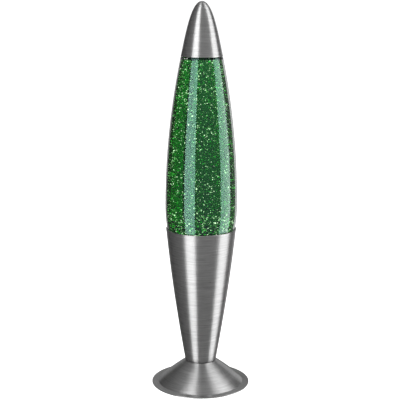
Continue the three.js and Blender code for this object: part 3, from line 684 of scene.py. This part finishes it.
def scatter_glitter(name, count, sizes, heights, bottom_pull, seed):
    """A cloud of flakes in the liquid. bottom_pull above 1 crowds them downwards."""
    rng = np.random.default_rng(seed)
    smallest, largest = sizes
    low, high = heights
    height = low + (high - low) * rng.random(count) ** bottom_pull
    limit = np.array([bottle_radius(z) for z in height]) - liquid_depth - WALL_GAP
    reach = limit * np.sqrt(1 - CORE_SHARE * rng.random(count) ** CORE_FALL)
    turn = rng.random(count) * math.tau
    centre = np.stack([reach * np.cos(turn), reach * np.sin(turn), height], axis=1) * MM
    size = smallest + (largest - smallest) * rng.random(count) ** 2
    normal = rng.normal(size=(count, 3))
    normal /= np.linalg.norm(normal, axis=1, keepdims=True)
    helper = np.roll(normal, 1, axis=1)
    first = np.cross(normal, helper)
    first /= np.linalg.norm(first, axis=1, keepdims=True)
    second = np.cross(normal, first)
    axes = np.stack([first, second, normal], axis=1)
    points = centre[:, None] + size[:, None, None] * np.einsum("pk,nkc->npc", flake_points, axes)
    corners = len(flake_points)
    faces = [tuple(i * corners + v for v in face) for i in range(count) for face in flake_faces]
    mesh = bpy.data.meshes.new(name)
    mesh.from_pydata(points.reshape(-1, 3).tolist(), [], faces)
    piece = bpy.data.objects.new(name, mesh)
    bpy.context.collection.objects.link(piece)
    print(name, count, "flakes")
    return piece


glitter_film, tree = new_material("aluminised glitter film")
each = add(tree, "ShaderNodeNewGeometry").outputs["Random Per Island"]
# Painted shade and light: below the share a flake is painted dark green as shade, above it pale
# green as lit.
painted_lit_and_shaded_tone = add(tree, "ShaderNodeValToRGB", {"Fac": each})
painted_lit_and_shaded_tone.color_ramp.interpolation = "CONSTANT"
painted_lit_and_shaded_tone.color_ramp.elements[0].color = linear("#06240c")
painted_lit_and_shaded_tone.color_ramp.elements[1].position = PAINTED_SHADE_SHARE
painted_lit_and_shaded_tone.color_ramp.elements[1].color = linear("#c8f4b0")
# Painted glint: the flakes past GLINTS_FROM glow a little, though they are no lamps.
glint = add(tree, "ShaderNodeMapRange", {
    "Value": each, "From Min": GLINTS_FROM, "From Max": 1, "To Max": GLINT_POWER,
})
finish_material(tree, add(tree, "ShaderNodeBsdfPrincipled", {
    "Base Color": painted_lit_and_shaded_tone.outputs["Color"], "Metallic": 0.1, "Roughness": 0.34,
    "Emission Color": linear("#f2ffe8"), "Emission Strength": glint.outputs["Result"],
}))
whole_height = (bottle_low + ABOVE_FLOOR, SHOULDER_Z + 1)
for glitter in (
    scatter_glitter("glitter_fine", 8000, (0.38, 0.62), whole_height, 1.0, 11),
    scatter_glitter("glitter_middle", 8000, (0.38, 0.70), whole_height, 1.3, 13),
    scatter_glitter("glitter_coarse", 1800, (0.60, 0.95), whole_height, 1.8, 12),
    scatter_glitter("glitter_settled", 1200, (0.65, 1.05), (mouth - 8, mouth + 24), 1.4, 14),
):
    dress(glitter, glitter_film, "bottle")

# %% [markdown]
# ## The everyday materials inside
# Everything under the shells is an ordinary bought part. One recipe is enough for most of them:
# two close tones mixed by a noise at the size of the real grain, the same noise in the
# roughness, and a slight bump.


# %% A recipe for plain materials
GRAIN_DEPTH = 0.05
GRAIN_GLOSS_SPREAD = 0.07


def plain(name, dark, light, metallic, roughness, grain_mm, bump=0.15):
    """A material with a fine grain, given by two tones and the size of the grain."""
    made, tree = new_material(name)
    grain = add(tree, "ShaderNodeTexNoise", {
        "Vector": add(tree, "ShaderNodeTexCoord").outputs["Object"],
        "Scale": 1 / (grain_mm * MM), "Detail": 4, "Roughness": 0.6,
    })
    tone = add(tree, "ShaderNodeMix", {
        "Factor": grain.outputs["Fac"], "A": linear(dark), "B": linear(light),
    }, data_type="RGBA")
    gloss = add(tree, "ShaderNodeMapRange", {
        "Value": grain.outputs["Fac"], "From Min": 0.3, "From Max": 0.7,
        "To Min": roughness - GRAIN_GLOSS_SPREAD, "To Max": roughness + GRAIN_GLOSS_SPREAD,
    })
    relief = add(tree, "ShaderNodeBump", {
        "Height": grain.outputs["Fac"], "Strength": bump, "Distance": GRAIN_DEPTH * MM,
    })
    finish_material(tree, add(tree, "ShaderNodeBsdfPrincipled", {
        "Base Color": tone.outputs["Result"], "Metallic": metallic,
        "Roughness": gloss.outputs["Result"], "Normal": relief.outputs[0],
    }))
    return made


# %% [markdown]
# Zinc plating gives the bought steel parts a pale, faintly blue grey with small cloudy crystals.
# The brass parts are pressed or turned and left bare. The crown cork is tinplate under a gold
# lacquer. Phenolic is a hard black moulding resin, almost glossy. The insert is unglazed white
# ceramic. The pad and the bush are matt black rubber.

# %% The plain materials
# Name, two tones, metalness, roughness, size of the grain in millimetres, strength of the bump.
zinc = plain("zinc plated steel", "#8f9396", "#c3c7ca", 1, 0.38, 1.2)
brass = plain("bare brass", "#a9803a", "#cfa658", 1, 0.32, 0.8)
tinplate = plain("gold lacquered tinplate", "#b08a3c", "#d9b765", 1, 0.28, 2.0)
liner_foam = plain("sealing foam", "#d3cebf", "#e6e2d6", 0, 0.65, 0.4)
black_coat = plain("black powder coat", "#151516", "#252527", 0, 0.55, 0.3, 0.4)
rubber = plain("matt black rubber", "#121212", "#1e1e1d", 0, 0.85, 0.5, 0.3)
polyamide = plain("natural polyamide", "#cfc7b0", "#e2dbc8", 0, 0.5, 0.9)
brown_sleeve = plain("brown insulation", "#3c1d0d", "#54290f", 0, 0.45, 0.7)
blue_sleeve = plain("blue insulation", "#123b7a", "#1d4f9a", 0, 0.45, 0.7)
phenolic = plain("black phenolic", "#0f0e0e", "#1b1a19", 0, 0.3, 0.6)
ceramic = plain("unglazed ceramic", "#dad5c8", "#efece4", 0, 0.6, 0.3, 0.25)
solder = plain("solder", "#8d8d88", "#b3b3ad", 1, 0.45, 0.5, 0.4)
black_glass = plain("black insulating glass", "#08080a", "#131318", 0, 0.12, 1.5)
nickel = plain("nickel plated brass", "#a5a39b", "#cfcdc5", 1, 0.26, 1.0)
drawn_wire = plain("drawn nickel wire", "#77777a", "#a2a2a4", 1, 0.35, 0.2)
tungsten = plain("tungsten", "#3a3836", "#57544f", 1, 0.5, 0.15, 0.5)

# %% [markdown]
# The earth lead's sleeve is extruded from two colours at once: green with yellow stripes. Bands
# across a slanted direction show as stripes along the lead.

# %% Green and yellow sleeve
STRIPE_SCALE = 300
STRIPE_EDGE = (0.62, 0.7)

green_yellow, tree = new_material("green and yellow insulation")
stripes = add(tree, "ShaderNodeTexWave", {
    "Vector": add(tree, "ShaderNodeTexCoord").outputs["Object"],
    "Scale": STRIPE_SCALE, "Distortion": 0.4,
}, bands_direction="DIAGONAL")
sharp_stripes = add(tree, "ShaderNodeMapRange", {
    "Value": stripes.outputs["Fac"], "From Min": STRIPE_EDGE[0], "From Max": STRIPE_EDGE[1],
})
two_colours = add(tree, "ShaderNodeMix", {
    "Factor": sharp_stripes.outputs["Result"], "A": linear("#2c7a1e"), "B": linear("#e3c81c"),
}, data_type="RGBA")
finish_material(tree, add(tree, "ShaderNodeBsdfPrincipled", {
    "Base Color": two_colours.outputs["Result"], "Roughness": 0.45,
}))

# %% [markdown]
# ## The crown cork
# The filled bottle is closed like a drinks bottle: a tinplate disc crimped over the neck's bead
# in 21 flutes. The skirt is spun plain; then every fourth column of its vertices is pushed out
# and the columns half way between are pulled in. The lampholder's ribs are made the same way.


# %% Picking vertices
def pick(piece, test):
    """In edit mode, selects just the vertices whose place in millimetres passes a test."""
    bpy.ops.object.mode_set(mode="OBJECT")
    for vertex in piece.data.vertices:
        x, y, z = (c / MM for c in vertex.co)
        vertex.select = test(math.degrees(math.atan2(y, x)) % 360, math.hypot(x, y), z)
    bpy.ops.object.mode_set(mode="EDIT")


def flute(piece, flutes, low, high, outward, inward):
    """Pushes every fourth column of vertices between two heights out, and the next but one in."""
    bpy.ops.object.select_all(action="DESELECT")
    bpy.context.view_layer.objects.active = piece
    piece.select_set(True)
    bpy.ops.object.mode_set(mode="EDIT")
    bpy.ops.mesh.select_mode(type="VERT")
    bpy.ops.mesh.select_all(action="DESELECT")
    column = 90 / flutes
    for phase, factor in ((0, outward), (2, inward)):
        pick(piece, lambda angle, radius, z, phase=phase: (
            low < z < high and radius > 1 and round(angle / column) % 4 == phase))
        bpy.ops.transform.resize(value=(factor, factor, 1), center_override=(0, 0, 0))
    bpy.ops.object.mode_set(mode="OBJECT")


# %% Crown cork
FLUTES = 21
CROWN_SHEET = 0.4
CROWN_RADIUS = 14.3
CROWN_FLAT = 11.8

crown_low, crown_top = levels("crown_closure")
crown = spun("crown", [
    (0, crown_top), (CROWN_FLAT, crown_top), *arc((12.2, crown_top - 1.5), 1.5, 90, 10, 5),
    (13.9, crown_top - 2.6), (14.1, crown_top - 4), (CROWN_RADIUS, crown_low),
    (CROWN_RADIUS - CROWN_SHEET, crown_low), (13.7, crown_top - 4), (13.65, crown_top - 2.6),
    (12.9, crown_top - 0.9), (CROWN_FLAT, crown_top - CROWN_SHEET), (0, crown_top - CROWN_SHEET),
], steps=4 * FLUTES, sharp=60)
flute(crown, FLUTES, crown_low - 1, crown_top - 3.5, 1.045, 0.985)
dress(crown, tinplate, "bottle", "crown_closure")

# %% [markdown]
# ## The pad and the bush
# A rubber ring under the foot's plate keeps the lamp from sliding; three grooves let it bend. A
# rubber bush lines the cord's hole at the back. It is spun upright and then laid on its side.

# %% Foot pad
GROOVES = 3
GROOVE_DEPTH = 0.35
GROOVE_HALVES = (0.7, 0.35)
PAD_WIDTH = 10.4
PAD_BEVEL = 0.2

pad_low, pad_high = levels("foot_pad")
pad_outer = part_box("foot_pad")[1][0] / MM
pad_inner = pad_outer - PAD_WIDTH
wide, narrow = GROOVE_HALVES
pad_face = []
for groove in range(GROOVES):
    middle = pad_inner + (groove + 1) * (pad_outer - pad_inner) / (GROOVES + 1)
    pad_face += [(middle - wide, pad_low), (middle - narrow, pad_low + GROOVE_DEPTH),
                 (middle + narrow, pad_low + GROOVE_DEPTH), (middle + wide, pad_low)]
pad = ring("pad", [
    (pad_inner, pad_high), (pad_inner, pad_low + PAD_BEVEL), (pad_inner + PAD_BEVEL, pad_low),
    *pad_face,
    (pad_outer - PAD_BEVEL, pad_low), (pad_outer, pad_low + PAD_BEVEL), (pad_outer, pad_high),
], steps=112)
dress(pad, rubber, "base", "foot_pad")

# %% Cord bush
BUSH_BORE = 3.05
BUSH_RADIUS = 4.2
BUSH_COLLAR = 4.9
COLLAR_WIDTH = 1.8
BUSH_BEVEL = 0.4

bush_in, bush_out = inlet_low[1] / MM, inlet_high[1] / MM
bush = ring("bush", [
    (BUSH_BORE, bush_in + BUSH_BEVEL), (BUSH_BORE + BUSH_BEVEL, bush_in),
    (BUSH_COLLAR - BUSH_BEVEL, bush_in), (BUSH_COLLAR, bush_in + BUSH_BEVEL),
    (BUSH_COLLAR, bush_in + COLLAR_WIDTH), (BUSH_RADIUS, bush_in + COLLAR_WIDTH),
    *arc((BUSH_RADIUS - 0.6, bush_out - 0.6), 0.6, 0, 90, 5),
    *arc((BUSH_BORE + 0.35, bush_out - 0.35), 0.35, 90, 180, 4),
], steps=48)
bush.rotation_euler = (-math.pi / 2, 0, 0)
bush.location = (0, 0, inlet_z)
bpy.ops.object.transform_apply(location=True, rotation=True, scale=True)
dress(bush, rubber, "base", "cord_grommet")

# %% [markdown]
# ## The lampholder
# Two black phenolic mouldings screw together around the ceramic insert. The lower one is a dome
# with a boss on the centre tube. The upper one is a skirt with grip ribs, which keeps fingers
# off the live sleeve.

# %% Lampholder
HOLDER_RADIUS = 13.2
HOLDER_WALL = 1.5
BOSS_RADIUS = 8
SKIRT_RADIUS = HOLDER_RADIUS - 0.35
SKIRT_MOUTH = 8.3
RIBS = 28

dome_low, dome_top = levels("lampholder_dome")
dome_inner = HOLDER_RADIUS - HOLDER_WALL
shoulder = dome_top - 4.5
dome = ring("holder_dome", [
    (TUBE_CLEARANCE, dome_low), (BOSS_RADIUS - 0.4, dome_low), (BOSS_RADIUS, dome_low + 0.4),
    (BOSS_RADIUS, dome_low + 2.2),
    *pull([(BOSS_RADIUS, dome_low + 2.6), (HOLDER_RADIUS - 0.7, dome_low + 3.4),
           (HOLDER_RADIUS, shoulder)], 10),
    (HOLDER_RADIUS, dome_top), (dome_inner, dome_top), (dome_inner, shoulder + 0.6),
    (BOSS_RADIUS - 0.8, dome_low + 4), (TUBE_CLEARANCE, dome_low + 4),
], steps=64)
dress(dome, phenolic, "base", "lampholder_dome")

skirt_low, skirt_top = levels("lampholder_skirt")
skirt = ring("holder_skirt", [
    (dome_inner, skirt_low), (SKIRT_RADIUS, skirt_low), (SKIRT_RADIUS, skirt_low + 2),
    (SKIRT_RADIUS, skirt_top - 5), (SKIRT_RADIUS, skirt_top - 2.2),
    *arc((HOLDER_RADIUS - 1.5, skirt_top - 1.2), 1.2, 10, 90, 5), (SKIRT_MOUTH + 0.3, skirt_top),
    (SKIRT_MOUTH, skirt_top - 0.3), (SKIRT_MOUTH, skirt_top - 1.2),
    (dome_inner - 0.8, skirt_top - 1.2), (dome_inner, skirt_top - 2),
], steps=4 * RIBS)
flute(skirt, RIBS, skirt_low + 1, skirt_top - 4, 1.022, 0.995)
dress(skirt, phenolic, "base", "lampholder_skirt")

# %% [markdown]
# ## The bulb
# A small reflector bulb with a thin cap of nickel-plated brass. The cap's thread is rolled into
# it with a pitch of 2.82 mm. It is drawn as a row of rolled rings, which look like the thread
# from the side.

# %% Bulb cap
THREAD_PITCH = 2.82
THREAD_RADIUS = 6.9
THREAD_DEPTH = 0.35
THREAD_ROWS = 48
CAP_WALL = 0.35
CAP_FLARE = 1.2
SOLDER_HOLE = 5

cap_z, cap_flare = levels("bulb_cap")
thread_top = cap_flare - 5
thread = []
for i in range(THREAD_ROWS + 1):
    z = cap_z + 1 + (thread_top - cap_z - 1) * i / THREAD_ROWS
    wave = 0.5 - 0.5 * math.cos(math.tau * (z - cap_z - 1) / THREAD_PITCH)
    thread.append((THREAD_RADIUS - THREAD_DEPTH * (1 - wave), z))
bulb_cap = ring("bulb_screw_cap", [
    (SOLDER_HOLE, cap_z), (THREAD_RADIUS - 0.6, cap_z), *thread, (THREAD_RADIUS, cap_flare - 4),
    (THREAD_RADIUS + CAP_FLARE, cap_flare), (THREAD_RADIUS + CAP_FLARE - CAP_WALL, cap_flare),
    (THREAD_RADIUS - CAP_WALL, cap_flare - 4.2),
    *[(radius - CAP_WALL, z) for radius, z in reversed(thread)], (SOLDER_HOLE, cap_z + CAP_WALL),
], steps=64, sharp=60)
dress(bulb_cap, nickel, "bulb", "bulb_cap")

# %% Bulb glass
BULB_RADIUS = 19.5
BULB_WALL = 0.7

bulb_crown = levels("bulb_glass")[1]


def bulb_face(depth, count):
    """One face of the blown glass, from inside the cap to the crown."""
    crown_z = bulb_crown - depth
    widest = (BULB_RADIUS - depth, crown_z - 10)
    neck = (THREAD_RADIUS - 0.9 - depth, cap_flare - 3)
    flare = pull([neck, (neck[0] + 1, neck[1] + 5), (widest[0], widest[1] - 14), widest], count)
    top = pull([widest, (widest[0], widest[1] + 6), (widest[0] / 2, crown_z), (0, crown_z)], count)
    return [(neck[0], neck[1] - 6), *flare, *top[1:]]


bulb_glass = spun("bulb_envelope", [
    *reversed(bulb_face(0, 18)), *bulb_face(BULB_WALL, 18),
], steps=80, sharp=60)
dress(bulb_glass, glass, "bulb", "bulb_glass")

# %% [markdown]
# ## The pieces that keep the CAD's own shape
# Nuts, washers, clamp screws, the terminal block and its leads, the contacts and the bulb's
# small parts are right as they come. Each only gets its real material.

# %% Materials for the CAD's own pieces
finishes = {
    zinc: ("threaded_tube", "upper_washer", "upper_nut", "lower_washer", "lower_nut",
           "bottom_washer", "bottom_nut", "terminal_block_screw"),
    brass: ("earth_tag", "screw_live_cord", "screw_live_lamp", "screw_earth_cord",
            "screw_earth_lamp", "screw_neutral_cord", "screw_neutral_lamp",
            "lampholder_sleeve", "lampholder_contact", "lampholder_screw_live",
            "lampholder_screw_neutral"),
    liner_foam: ("closure_liner",),
    black_coat: ("base_plate",),
    polyamide: ("terminal_block",),
    brown_sleeve: ("live_lead",),
    blue_sleeve: ("neutral_lead",),
    green_yellow: ("earth_lead",),
    ceramic: ("lampholder_insert",),
    solder: ("bulb_tip",),
    black_glass: ("bulb_insulator",),
    glass: ("bulb_stem",),
    drawn_wire: ("bulb_wire_left", "bulb_wire_right"),
    tungsten: ("bulb_filament",),
}
for material, nodes in finishes.items():
    for node in nodes:
        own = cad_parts[node].data.materials
        own.clear()
        own.append(material)
print(sum(len(nodes) for nodes in finishes.values()), "CAD pieces keep their shape")
